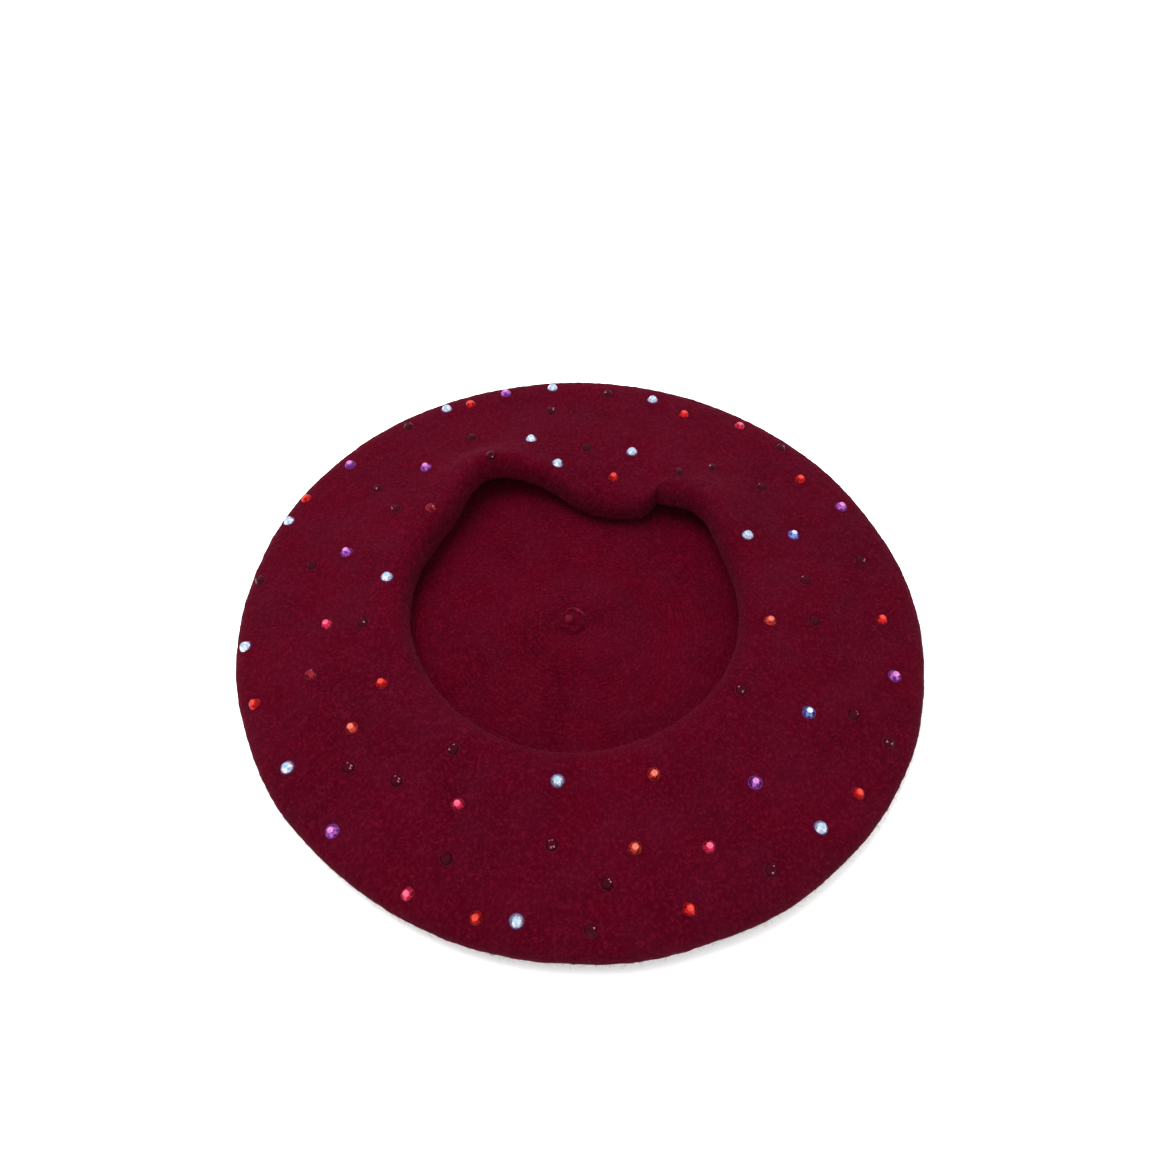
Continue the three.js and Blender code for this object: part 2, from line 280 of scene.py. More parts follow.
# The studio, in metres: an even white surround, one soft box over the hat's far side, and pale paper.
SURROUND_STRENGTH = 1.6
KEY_PLACE = (-0.19, 0.17, 0.80)
KEY_SIZE = 0.6
KEY_POWER = 10.5
PAPER_TONE = 0.93
PAPER_REACH = 6.0
PAPER_DROP = 0.0002


def wrapped(angle):
    """An angle in degrees, or an array of them, brought to between -180 and 180."""
    return (angle + 180) % 360 - 180


def bump(angle, middle, width, power=2.0):
    """A bump of height 1 about an angle. A higher power gives it a flatter top and steeper sides."""
    return np.exp(-((np.abs(wrapped(angle - middle)) / width) ** power))


def smoothstep(value, low, high):
    """0 up to the low value and 1 from the high one, with a smooth rise between them."""
    share = np.clip((value - low) / (high - low), 0, 1)
    return share * share * (3 - 2 * share)


def droop_sides(angle, share):
    """How much of the droop there is at an angle by its creased side, and by its gentle one.

    The crease is sharp at the lip, where the share is 1, and fades away from it."""
    width = DROOP_CREASE["width"] + DROOP_CREASE["spread"] * (1 - share)
    creased = 1 / (1 + np.exp(-wrapped(angle - DROOP_CREASE["angle"]) / width))
    gentle = 1 / (1 + np.exp(wrapped(angle - DROOP_SLOPE["angle"]) / DROOP_SLOPE["width"]))
    return creased, gentle


def lobe_sum(angle, way):
    """How far all the lobes together move the lip at an angle, out or up."""
    return sum(lobe[way] * bump(angle, lobe["angle"], lobe["width"]) for lobe in LIP_LOBES)


def lay(points, underside):
    """Points of the round hat moved to where they lie.

    The crown's take the rim's oval and ripples, and the underside's take the drape as well."""
    radius = np.maximum(np.hypot(points[..., 0], points[..., 1]), 1e-6)
    angle = np.degrees(np.arctan2(points[..., 1], points[..., 0]))
    oval = 1 + OVAL_SHARE * np.cos(2 * np.radians(angle - OVAL_ANGLE)) * radius / RIM_RADIUS
    share = (1 - smoothstep(radius, LIP_RADIUS, LIP_REACH)) * underside
    creased, gentle = droop_sides(angle, share)
    droop = creased * gentle
    past_crease = smoothstep(wrapped(angle - DROOP_CREASE["angle"]), 0, DROOP_ROUNDING["reach"])
    pull = DROOP_PULL * droop * (1 - DROOP_ROUNDING["share"] * (1 - past_crease))
    stretch = 1 + share * (lobe_sum(angle, "out") - pull) / radius
    laid = points.copy()
    laid[..., 0] *= oval * stretch
    laid[..., 1] *= oval * stretch
    fold = np.radians(DROOP_FOLD) * 4 * creased * (1 - creased) * gentle * share**2
    laid[..., 0], laid[..., 1] = laid[..., 0] + fold * laid[..., 1], laid[..., 1] - fold * laid[..., 0]
    laid[..., 1] += share * LIP_OFFSET
    laid[..., 2] += share * (lobe_sum(angle, "up") - DROOP_DEPTH * droop)

    # Broad soft shapes move both faces of the felt together, so it keeps its thickness.
    flat = laid * np.array([1, 1, 0])
    upper = underside * (1 - smoothstep(radius, WAVE_END, RIM_RADIUS))
    laid[..., 2] += upper * WAVE_HEIGHT * lattice_noise(flat, WAVE_SIZE, 3)
    laid[..., 2] += upper * DIMPLE_HEIGHT * lattice_noise(flat, DIMPLE_SIZE, 5)
    valley = np.exp(-(((radius - VALLEY["radius"]) / VALLEY["reach"]) ** 2))
    laid[..., 2] -= underside * VALLEY["depth"] * valley * bump(angle, VALLEY["angle"], VALLEY["width"])
    near_rim = smoothstep(radius, WAVE_END, RIM_RADIUS)
    ripple = 1 + RIPPLE_SHARE * near_rim * lattice_noise(flat, RIPPLE_SIZE, 7)
    laid[..., 0] *= ripple
    laid[..., 1] *= ripple
    return laid


def lattice_noise(points, size, seed):
    """Smooth noise from -1 to 1, with features of the given size, at an array of points."""
    scaled = points / size + seed * 17.31
    corner = np.floor(scaled).astype(np.int64)
    part = scaled - corner
    part = part * part * (3 - 2 * part)
    total = np.zeros(points.shape[:-1])
    for dx in (0, 1):
        for dy in (0, 1):
            for dz in (0, 1):
                x, y, z = corner[..., 0] + dx, corner[..., 1] + dy, corner[..., 2] + dz
                key = (x * 73856093) ^ (y * 19349663) ^ (z * 83492791) ^ (seed * 2654435)
                key = (key ^ (key >> 13)) * 1274126177
                value = ((key ^ (key >> 16)) & 65535) / 32767.5 - 1
                weight = np.abs(1 - dx - part[..., 0]) * np.abs(1 - dy - part[..., 1])
                weight = weight * np.abs(1 - dz - part[..., 2])
                total += value * weight
    return total


def stretch_points(points, spacing):
    """Points along a straight or curved stretch at about the given spacing, without its first."""
    ends = np.array(points, float)
    fine = np.linspace(0, 1, 65)[:, None]
    if len(ends) == 2:
        path = ends[0] + (ends[1] - ends[0]) * fine
    else:
        start, first_bend, second_bend, end = ends
        path = (1 - fine) ** 3 * start + 3 * (1 - fine) ** 2 * fine * first_bend
        path = path + 3 * (1 - fine) * fine**2 * second_bend + fine**3 * end
    steps = np.hypot(*np.diff(path, axis=0).T)
    along = np.concatenate([[0], np.cumsum(steps)])
    count = max(2, round(along[-1] / spacing))
    wanted = np.linspace(0, along[-1], count + 1)[1:]
    return np.column_stack([np.interp(wanted, along, path[:, axis]) for axis in (0, 1)])


def outline(inside):
    """The felt's profile as rows of [radius, height], and which rows belong to the underside."""
    column = 2 if inside else 1
    rows, of_underside = [np.array([[0, HOLLOW_DEPTH]])], [np.zeros(1)]
    for stretches, part in ((CROWN_STRETCHES, 0.0), (UNDERSIDE_STRETCHES, 1.0)):
        for stretch in stretches:
            rows.append(stretch_points(stretch[0], stretch[column]))
            of_underside.append(np.full(len(rows[-1]), part))
    path, part = np.concatenate(rows), np.concatenate(of_underside)
    if inside:
        along = np.gradient(path, axis=0)
        along /= np.hypot(*along.T)[:, None]
        path = path + FELT * np.column_stack([-along[:, 1], along[:, 0]])
        path[0, 0] = 0
    return path, part


def felt_profile():
    """The closed profile: the outside, a rounded hem edge, and the inside back to the middle."""
    outer, outer_part = outline(False)
    inner, inner_part = outline(True)
    middle, half = (outer[-1] + inner[-1]) / 2, (inner[-1] - outer[-1]) / 2
    forward = np.array([half[1], -half[0]])
    turns = np.radians([45, 90, 135])
    edge = np.array([middle - half * math.cos(turn) + forward * math.sin(turn) for turn in turns])
    path = np.concatenate([outer, edge, inner[::-1]])
    part = np.concatenate([outer_part, np.ones(len(edge)), inner_part[::-1]])
    outside = np.concatenate([np.ones(len(outer)), np.ones(len(edge)), np.zeros(len(inner))])
    return path, part, outside


def grid_normals(grid):
    """Unit normals of a closed ring grid of points, pointing out of the felt."""
    across = np.roll(grid, -1, axis=1) - np.roll(grid, 1, axis=1)
    along = np.gradient(grid, axis=0)
    normal = np.cross(across, along)
    length = np.linalg.norm(normal, axis=-1, keepdims=True)
    return normal / np.maximum(length, 1e-9)


def felt_grid():
    """The laid shell as a grid of points, and its normals.

    Then, for each of its rows, the ring radius, and whether it is the brushed outside and the underside."""
    path, part, outside = felt_profile()
    angles = np.radians(np.arange(RING_POINTS) * 360 / RING_POINTS)
    round_grid = np.zeros((len(path), RING_POINTS, 3))
    round_grid[..., 0] = path[:, 0, None] * np.cos(angles)
    round_grid[..., 1] = path[:, 0, None] * np.sin(angles)
    round_grid[..., 2] = path[:, 1, None]
    radius = path[:, 0, None]
    grid = lay(round_grid, part[:, None])

    # The surface's own relief goes along its normal. The crown's outside stays flat where it rests.
    normal = grid_normals(grid)
    relief = TUFT_HEIGHT * lattice_noise(grid, TUFT_SIZE, 11)
    relief = relief + NAP_HEIGHT * lattice_noise(grid, NAP_SIZE, 13)
    wander = KNIT_WANDER * lattice_noise(grid, KNIT_WANDER_SIZE, 17)
    courses = np.sin(2 * math.pi * radius / KNIT_PITCH + wander)
    inside_relief = INSIDE_RELIEF * relief + KNIT_HEIGHT * courses
    outside = outside[:, None]
    resting = (1 - part[:, None]) * outside * (1 - smoothstep(radius, REST_RADIUS, REST_END))
    relief = (outside * relief + (1 - outside) * inside_relief) * (1 - (1 - RESTING_RELIEF) * resting)
    grid += normal * relief[..., None]
    grid[..., 2] = np.maximum(grid[..., 2], 0)
    return grid, grid_normals(grid), radius[:, 0], outside[:, 0], part


def make_mesh(name, points, faces, materials, face_slots=None, smooth=True):
    """A new mesh object from points in millimetres and faces.

    The faces are one array whose faces have equally many corners, or a list of such arrays."""
    mesh = bpy.data.meshes.new(name)
    groups = [np.asarray(group) for group in (faces if isinstance(faces, list) else [faces])]
    loops = np.concatenate([group.ravel() for group in groups])
    sizes = np.concatenate([np.full(len(group), group.shape[1]) for group in groups])
    mesh.vertices.add(len(points))
    mesh.vertices.foreach_set("co", (np.asarray(points, float) * MM).astype(np.float32).ravel())
    mesh.loops.add(len(loops))
    mesh.loops.foreach_set("vertex_index", loops.astype(np.int32))
    mesh.polygons.add(len(sizes))
    starts = np.concatenate([[0], np.cumsum(sizes)[:-1]]).astype(np.int32)
    mesh.polygons.foreach_set("loop_start", starts)
    mesh.polygons.foreach_set("use_smooth", np.full(len(sizes), smooth))
    for material in materials:
        mesh.materials.append(material)
    if face_slots is not None:
        mesh.polygons.foreach_set("material_index", np.asarray(face_slots, np.int32))
    mesh.update(calc_edges=True)
    mesh.validate()
    piece = bpy.data.objects.new(name, mesh)
    bpy.context.scene.collection.objects.link(piece)
    return piece


def ring_faces(rows, columns):
    """The four-sided faces of a grid that closes on itself along its columns."""
    row = np.arange(rows - 1)[:, None]
    column = np.arange(columns)[None, :]
    following = (column + 1) % columns
    near, far = row * columns, (row + 1) * columns
    corners = [near + column, near + following, far + following, far + column]
    return np.stack(np.broadcast_arrays(*corners), axis=-1).reshape(-1, 4)


def linear(red, green, blue):
    """A colour from its screen values, 0 to 255."""
    values = [channel / 255 for channel in (red, green, blue)]
    return tuple(v / 12.92 if v <= 0.04045 else ((v + 0.055) / 1.055) ** 2.4 for v in values) + (1.0,)


class Nodes:
    """A material's nodes, with a short way to add one and join it up."""

    def __init__(self, name):
        self.material = bpy.data.materials.new(name)
        self.material.use_nodes = True
        self.tree = self.material.node_tree
        self.shader = self.tree.nodes["Principled BSDF"]

    def add(self, kind, settings=None, **inputs):
        """A new node with its settings, and its inputs by name."""
        made = self.tree.nodes.new(kind)
        for key, value in (settings or {}).items():
            setattr(made, key, value)
        for key, value in inputs.items():
            self.give(made, key.replace("_", " "), value)
        return made

    def give(self, made, key, value):
        """Joins a socket to an input, or sets it to a value. The key is its name, or in and its number."""
        numbered = key.startswith("in") and key[2:].isdigit()
        socket = made.inputs[int(key[2:])] if numbered else next(s for s in made.inputs if s.name == key)
        if isinstance(value, bpy.types.NodeSocket):
            self.tree.links.new(value, socket)
        else:
            socket.default_value = value

    def set(self, **values):
        """Gives the material's shader its inputs."""
        for key, value in values.items():
            self.give(self.shader, key.replace("_", " "), value)

    def place(self):
        """Places in the piece's own axes, in metres."""
        return self.add("ShaderNodeTexCoord").outputs["Object"]

    def noise(self, vector, size_mm, detail=2.0, roughness=0.5, distortion=0.0):
        """Noise with features of about the given size."""
        made = self.add("ShaderNodeTexNoise", Vector=vector, Scale=1 / (size_mm * MM), Detail=detail,
                        Roughness=roughness, Distortion=distortion)
        return made.outputs["Fac"]

    def math(self, operation, a, b=None):
        """The result of an operation on one or two values or sockets."""
        made = self.add("ShaderNodeMath", {"operation": operation})
        self.give(made, "in0", a)
        if b is not None:
            self.give(made, "in1", b)
        return made.outputs[0]

    def spread(self, value, low, high, to_low=0.0, to_high=1.0):
        """The value's range from low to high spread over another, and held at its ends."""
        made = self.add("ShaderNodeMapRange", Value=value, From_Min=low, From_Max=high,
                        To_Min=to_low, To_Max=to_high)
        return made.outputs[0]

    def mix(self, share, first, second):
        """A colour between the first, at share 0, and the second, at share 1."""
        made = self.add("ShaderNodeMix", {"data_type": "RGBA", "blend_type": "MIX"})
        self.give(made, "in0", share)
        self.give(made, "in6", first)
        self.give(made, "in7", second)
        return made.outputs[2]

    def bump(self, height, distance_mm, strength=1.0, normal=None):
        """A normal with the relief of a height, laid over another relief if one is given."""
        made = self.add("ShaderNodeBump", Height=height, Distance=distance_mm * MM, Strength=strength)
        if normal is not None:
            self.give(made, "Normal", normal)
        return made.outputs[0]

    def polar(self, spread_mm, run_mm):
        """Places on a cylinder about the hat's axis, so that noise there runs along the hat's radii."""
        parts = self.add("ShaderNodeSeparateXYZ", Vector=self.place())
        x, y = parts.outputs[0], parts.outputs[1]
        squares = self.math("ADD", self.math("MULTIPLY", x, x), self.math("MULTIPLY", y, y))
        radius = self.math("SQRT", squares)
        safe = self.math("MAXIMUM", radius, STREAK_START * MM)
        around = STREAK_FLARE / (spread_mm * MM)
        made = self.add("ShaderNodeCombineXYZ")
        self.give(made, "in0", self.math("MULTIPLY", self.math("DIVIDE", x, safe), around))
        self.give(made, "in1", self.math("MULTIPLY", self.math("DIVIDE", y, safe), around))
        self.give(made, "in2", self.math("MULTIPLY", radius, 1 / (run_mm * MM)))
        return made.outputs[0], radius


def felt_material(name, deep, body, cool, light, grain, nap, courses):
    """Wool felt: four tones mixed by cloudy, tufted and fibrous noise, with a soft sheen."""
    made = Nodes(name)
    place = made.place()
    clouds = made.noise(place, CLOUD_SIZE)
    tufts = made.noise(place, TUFT_TONE_SIZE, detail=3, roughness=0.6)
    flecks = made.noise(place, FLECK_SIZE, detail=3, roughness=0.62, distortion=0.5)
    radial_place, radius = made.polar(*STREAK_SIZE)
    radial = made.add("ShaderNodeTexNoise", Vector=radial_place, Scale=1.0, Detail=3.0, Roughness=0.6)
    radial = radial.outputs["Fac"]
    cloud_tone = made.math("MULTIPLY", clouds, CLOUD_SHARE)
    tuft_tone = made.math("MULTIPLY", tufts, TUFT_SHARE)
    tone = made.math("ADD", cloud_tone, tuft_tone)
    tone = made.math("ADD", tone, made.math("MULTIPLY", radial, grain))
    wander = made.math("MULTIPLY", made.noise(place, COURSE_WANDER_SIZE, detail=1), COURSE_WANDER)
    turns = made.math("ADD", made.math("MULTIPLY", radius, 2 * math.pi / (KNIT_PITCH * MM)), wander)
    tone = made.math("ADD", tone, made.math("MULTIPLY", made.math("SINE", turns), courses))
    colour = made.mix(made.spread(tone, 0.22 + grain * 0.35, 0.43 + grain * 0.65), deep, body)
    patches = made.noise(place, COOL_SIZE)
    colour = made.mix(made.spread(patches, 0.42, 0.62, 0.0, COOL_SHARE), colour, cool)
    colour = made.mix(made.spread(flecks, 0.48, 0.72, 0.0, FLECK_SHARE), colour, light)
    made.set(Base_Color=colour, Roughness=made.spread(flecks, 0.3, 0.7, 0.98, 0.86))
    made.shader.inputs["Specular IOR Level"].default_value = FELT_SPECULAR
    made.shader.inputs["Sheen Weight"].default_value = FELT_SHEEN
    made.shader.inputs["Sheen Roughness"].default_value = SHEEN_ROUGHNESS
    made.shader.inputs["Sheen Tint"].default_value = linear(*SHEEN_TONE)
    coarse = made.bump(tufts, distance_mm=0.5 * nap, strength=0.5)
    streaks = made.bump(radial, distance_mm=0.25 * nap, strength=0.6, normal=coarse)
    made.set(Normal=made.bump(flecks, distance_mm=0.22 * nap, strength=0.9, normal=streaks))
    return made.material


def plain_material(name, dark, light, size_mm, roughness, bump_mm):
    """Yarn, cord or adhesive: two tones and a relief from one noise."""
    made = Nodes(name)
    cloud = made.noise(made.place(), size_mm, detail=3, roughness=0.6)
    made.set(Base_Color=made.mix(made.spread(cloud, 0.35, 0.65), dark, light), Roughness=roughness,
             Normal=made.bump(cloud, bump_mm, strength=0.8))
    made.shader.inputs["Specular IOR Level"].default_value = 0.2
    return made.material


FELT_OUTSIDE = felt_material(
    "felt_brushed", deep=linear(42, 0, 8), body=linear(58, 0, 12), cool=linear(50, 4, 18),
    light=linear(76, 8, 25), grain=0.35, nap=1.0, courses=0.0)
FELT_INSIDE = felt_material(
    "felt_inside", deep=linear(42, 0, 8), body=linear(60, 0, 12), cool=linear(52, 3, 17),
    light=linear(76, 7, 22), grain=0.2, nap=0.8, courses=0.05)
# A lighter felt for the pucker's raised fold and blob: a painted highlight where the light falls on them.
FELT_HIGHLIGHTED = felt_material(
    "felt_worn", deep=linear(62, 4, 18), body=linear(84, 14, 30), cool=linear(76, 14, 32),
    light=linear(104, 30, 46), grain=0.2, nap=0.8, courses=0.0)


def make_felt_shell():
    """The shell in one piece, as it is knitted and fulled, and its grid for what is fixed to it."""
    grid, normal, radius, outside, part = felt_grid()
    rows = grid[1:-1]
    points = np.concatenate([rows.reshape(-1, 3), grid[0, :1], grid[-1, :1]])
    count = len(rows)
    quads = ring_faces(count, RING_POINTS)
    ring = np.arange(RING_POINTS)
    following = (ring + 1) % RING_POINTS
    last = (count - 1) * RING_POINTS
    below, above = len(points) - 2, len(points) - 1
    low_fan = np.column_stack([np.full(RING_POINTS, below), following, ring])
    high_fan = np.column_stack([np.full(RING_POINTS, above), last + ring, last + following])
    row_slots = np.where(outside[1:-2] * outside[2:-1] > 0.5, 0, 1)
    slots = [np.repeat(row_slots, RING_POINTS), np.zeros(RING_POINTS), np.ones(RING_POINTS)]
    shell = make_mesh("felt_shell", points, [quads, low_fan, high_fan], [FELT_OUTSIDE, FELT_INSIDE],
                      np.concatenate(slots))
    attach(shell, "hat")
    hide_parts("crown", "underside")
    return shell, grid, normal, radius, outside, part


def set_view():
    """The camera at the photograph's angle."""
    camera = bpy.data.objects.new("camera", bpy.data.cameras.new("camera"))
    bpy.context.scene.collection.objects.link(camera)
    camera.location = Vector(CAMERA_PLACE) * MM
    camera.rotation_euler = (math.radians(90 - CAMERA_PITCH), 0, 0)
    camera.data.sensor_width = 36
    camera.data.lens = CAMERA_LENS
    camera.data.clip_start = 0.01
    camera.data.clip_end = 50
    bpy.context.scene.camera = camera
    bpy.context.scene.view_settings.view_transform = "Standard"


def soft_light(name, place, size, power):
    """A square soft box at a place in metres, facing the hat, and not seen in the stones."""
    light = bpy.data.objects.new(name, bpy.data.lights.new(name, "AREA"))
    bpy.context.scene.collection.objects.link(light)
    light.data.size = size
    light.data.energy = power
    light.location = place
    light.rotation_mode = "QUATERNION"
    light.rotation_quaternion = (-Vector(place)).to_track_quat("-Z", "Y")
    light.visible_glossy = False


def set_stage():
    """The white surround, the soft box and the paper the hat lies on."""
    world = bpy.data.worlds.new("studio")
    world.use_nodes = True
    surround = world.node_tree.nodes["Background"]
    surround.inputs["Color"].default_value = (1, 1, 1, 1)
    surround.inputs["Strength"].default_value = SURROUND_STRENGTH
    bpy.context.scene.world = world
    soft_light("key", KEY_PLACE, KEY_SIZE, KEY_POWER)
    corners = np.array([[-1, -1, 0], [1, -1, 0], [1, 1, 0], [-1, 1, 0]]) * PAPER_REACH / MM
    paper = Nodes("paper")
    paper.set(Base_Color=(PAPER_TONE, PAPER_TONE, PAPER_TONE, 1), Roughness=0.9)
    floor = make_mesh("floor", corners, np.array([[0, 1, 2, 3]]), [paper.material])
    floor.location.z = -PAPER_DROP


def rings_about(along, sides, flatten=1.0):
    """The unit steps of a path that isn't upright, and unit rings square to them, flattened upwards."""
    along = along / np.linalg.norm(along, axis=1, keepdims=True)
    side = np.cross(along, (0, 0, 1))
    side /= np.linalg.norm(side, axis=1, keepdims=True)
    over = np.cross(side, along)
    turn = (np.arange(sides) * 2 * math.pi / sides)[None, :, None]
    return along, side[:, None] * np.cos(turn) + flatten * over[:, None] * np.sin(turn)


def tube(path, radii, sides, flatten=1.0):
    """Points and faces of a closed tube: rings along a path, and a pole at each end."""
    along, rings = rings_about(np.gradient(path, axis=0), sides, flatten)
    points = (path[:, None] + radii[:, None, None] * rings).reshape(-1, 3)
    first_pole = path[:1] - along[:1] * radii[0] * POLE_REACH
    last_pole = path[-1:] + along[-1:] * radii[-1] * POLE_REACH
    return np.concatenate([points, first_pole, last_pole]), closed_rings(len(path), sides)


def closed_rings(rows, columns):
    """Faces over rings of points whose last two points are the poles of the first and the last ring."""
    quads = ring_faces(rows, columns)[:, ::-1]
    ring = np.arange(columns)
    following = (ring + 1) % columns
    first = np.column_stack([np.full(columns, rows * columns), ring, following])
    last_row = (rows - 1) * columns
    last = np.column_stack([np.full(columns, rows * columns + 1), last_row + following, last_row + ring])
    return [quads, np.concatenate([first, last])]


def joined(shapes):
    """Several shapes, each points and a list of face arrays, as one."""
    points, groups, offset = [], {}, 0
    for shape_points, shape_faces in shapes:
        points.append(shape_points)
        for faces in shape_faces:
            groups.setdefault(faces.shape[1], []).append(faces + offset)
        offset += len(shape_points)
    return np.concatenate(points), [np.concatenate(group) for group in groups.values()]


def felt_plane(tree, x, y):
    """The middle and the upward direction of the felt under a stone, from nine rays cast down."""
    turns = np.arange(8) * math.pi / 4
    ring = np.column_stack([x + STONE_RADIUS * np.cos(turns), y + STONE_RADIUS * np.sin(turns)])
    spots = []
    for spot in [(x, y), *ring]:
        hit = tree.ray_cast(Vector((spot[0] * MM, spot[1] * MM, 0.1)), Vector((0, 0, -1)))[0]
        spots.append(np.array(hit) / MM)
    spots = np.array(spots)
    middle = spots.mean(axis=0)
    up = np.linalg.svd(spots - middle)[2][2]
    return middle, up if up[2] > 0 else -up


def stone_shape():
    """One stone about its back's middle: points, and facets as (part, corners)."""
    rings = [(TABLE_SHARE, STONE_HEIGHT, 8, 0.0)]
    slope = (STAR_SHARE * math.cos(math.pi / 8) - TABLE_SHARE) / (1 - TABLE_SHARE)
    rings.append((STAR_SHARE, STONE_HEIGHT - slope * (STONE_HEIGHT - GIRDLE_HEIGHT), 8, 0.5))
    rings.append((1.0, GIRDLE_HEIGHT, 16, 0.0))
    rings.append((1.0, 0.0, 16, 0.0))
    points = []
    for share, height, count, shift in rings:
        for step in range(count):
            turn = (step + shift) * 2 * math.pi / count
            radius = share * STONE_RADIUS
            points.append((radius * math.cos(turn), radius * math.sin(turn), height))
    table, star, girdle, back = 0, 8, 16, 32
    facets = [("table", [table + i for i in range(8)]), ("back", [back + i for i in reversed(range(16))])]
    for i in range(8):
        after = (i + 1) % 8
        before = (i + 7) % 8
        facets.append(("star", [table + i, star + i, table + after]))
        facets.append(("kite", [table + i, star + before, girdle + 2 * i, star + i]))
        facets.append(("break", [star + i, girdle + 2 * i, girdle + 2 * i + 1]))
        facets.append(("break", [star + i, girdle + 2 * i + 1, girdle + (2 * i + 2) % 16]))
    for i in range(16):
        after = (i + 1) % 16
        facets.append(("edge", [girdle + i, back + i, back + after, girdle + after]))
    return points, facets


def glue_shape(reach):
    """The dot of adhesive that shows round a stone's back, out to the given radius."""
    points = []
    rings = [(reach, -STONE_SINK), (reach + GLUE_FLARE, 0.0), (reach - GLUE_INSET, GLUE_HEIGHT)]
    for radius, height in rings:
        for step in range(GLUE_SIDES):
            turn = step * 2 * math.pi / GLUE_SIDES
            points.append((radius * math.cos(turn), radius * math.sin(turn), height))
    ring = range(GLUE_SIDES)
    facets = [("glue", list(reversed(ring))), ("glue", [2 * GLUE_SIDES + i for i in ring])]
    for row in (0, GLUE_SIDES):
        for i in ring:
            after = (i + 1) % GLUE_SIDES
            facets.append(("glue", [row + i, row + after, row + GLUE_SIDES + after, row + GLUE_SIDES + i]))
    return points, facets


def stone_material(name, tone, shine, gloss):
    """Coloured glass over foil: a cloudy tint seen through a hard, glossy face."""
    made = Nodes(name)
    cloud = made.noise(made.place(), TINT_SIZE, detail=1)
    base = linear(*tone)
    darker = tuple(channel * FOIL_DARKENING for channel in base[:3]) + (1.0,)
    made.set(Base_Color=made.mix(made.spread(cloud, 0.35, 0.6), darker, base), Metallic=shine,
             Roughness=made.spread(cloud, 0.3, 0.7, 0.28, 0.42))
    made.shader.inputs["Specular IOR Level"].default_value = gloss
    return made.material


def stone_look(look, tones):
    """The materials of one look, in the order of the slots."""
    shine, gloss = DARK_SHINE if look in GLINT_TONES else BRIGHT_SHINE
    names = ["table", "light", "dark", "edge"]
    materials = [stone_material(f"{look}_{part}", tone, shine, gloss) for part, tone in zip(names, tones)]
    # The glint's tone is a painted highlight. The adhesive takes the edge tone, a painted shadow round the
    # stone.
    glint = GLINT_TONES.get(look, tones[TABLE])
    materials.append(stone_material(f"{look}_glint", glint, shine, gloss))
    rim = linear(*tones[EDGE])
    rim_light = linear(*(channel + ADHESIVE_LIGHTENING for channel in tones[EDGE]))
    materials.append(plain_material(f"{look}_adhesive", dark=rim, light=rim_light,
                                    size_mm=0.8, roughness=0.6, bump_mm=0.05))
    return materials


def stone_places():
    """Every stone as (kind, number, x, y, node). The further dark ones have no node."""
    places = []
    for node in sorted(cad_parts):
        if node.startswith("rhinestone_"):
            low, high = (np.array(corner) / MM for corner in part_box(node))
            middle = (low + high) / 2
            places.append((node.split("_")[1], node.split("_")[2], middle[0], middle[1], node))
    first = 1 + sum(kind == "garnet" for kind, *_ in places)
    for index, (radius, angle) in enumerate(DARK_STONES):
        turn = math.radians(angle)
        spot = np.array([[radius * math.cos(turn), radius * math.sin(turn), CREST_HEIGHT]])
        laid = lay(spot, np.ones(1))[0]
        places.append(("garnet", f"{first + index:02d}", laid[0], laid[1], None))
    return places


def facet_slot(part, look, lot):
    """The slot of a facet, by its part and a random lot from 0 to 1."""
    # Light and dark facets, and glints, fall at random: painted reflection, shade and highlight.
    if part == "star" and look in GLINT_TONES and lot < GLINT_ODDS:
        return GLINT
    if part in LIGHT_ODDS:
        return LIGHT if lot < LIGHT_ODDS[part] else DARK
    return {"table": TABLE, "glue": ADHESIVE}.get(part, EDGE)


def make_stones(tree):
    """Every stone: those that replace the frame's, and the further dark ones. Gives their places."""
    rng = np.random.default_rng(12)
    looks = {look: stone_look(look, tones) for look, tones in STONE_TONES.items()}
    gem_points, gem_facets = stone_shape()
    offset = len(gem_points)
    places = stone_places()
    for kind, number, x, y, node in places:
        look = "dull" if node in DULL_STONES else kind
        middle, up = felt_plane(tree, x, y)
        spin = rng.uniform(0, math.pi / 4)
        reference = np.array([math.cos(spin), math.sin(spin), 0.0])
        side = np.cross(up, reference)
        side /= np.linalg.norm(side)
        turned = np.column_stack([np.cross(side, up), side, up])
        glue_points, glue_facets = glue_shape(WIDE_GLUE_RADIUS if kind in WIDE_GLUE_KINDS else GLUE_RADIUS)
        points = np.array(gem_points + glue_points) @ turned.T + middle
        moved_facets = [(part, [corner + offset for corner in corners]) for part, corners in glue_facets]
        faces = {}
        for part, corners in gem_facets + moved_facets:
            slot = facet_slot(part, look, rng.random())
            faces.setdefault(len(corners), []).append((slot, corners))
        groups = [np.array([corners for _, corners in group]) for group in faces.values()]
        slots = [slot for group in faces.values() for slot, _ in group]
        piece = make_mesh(f"stone_{kind}_{number}", points, groups, looks[look], slots, smooth=False)
        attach(piece, "hat")
        if node:
            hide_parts(node)
    return np.array([[x, y] for _, _, x, y, _ in places])


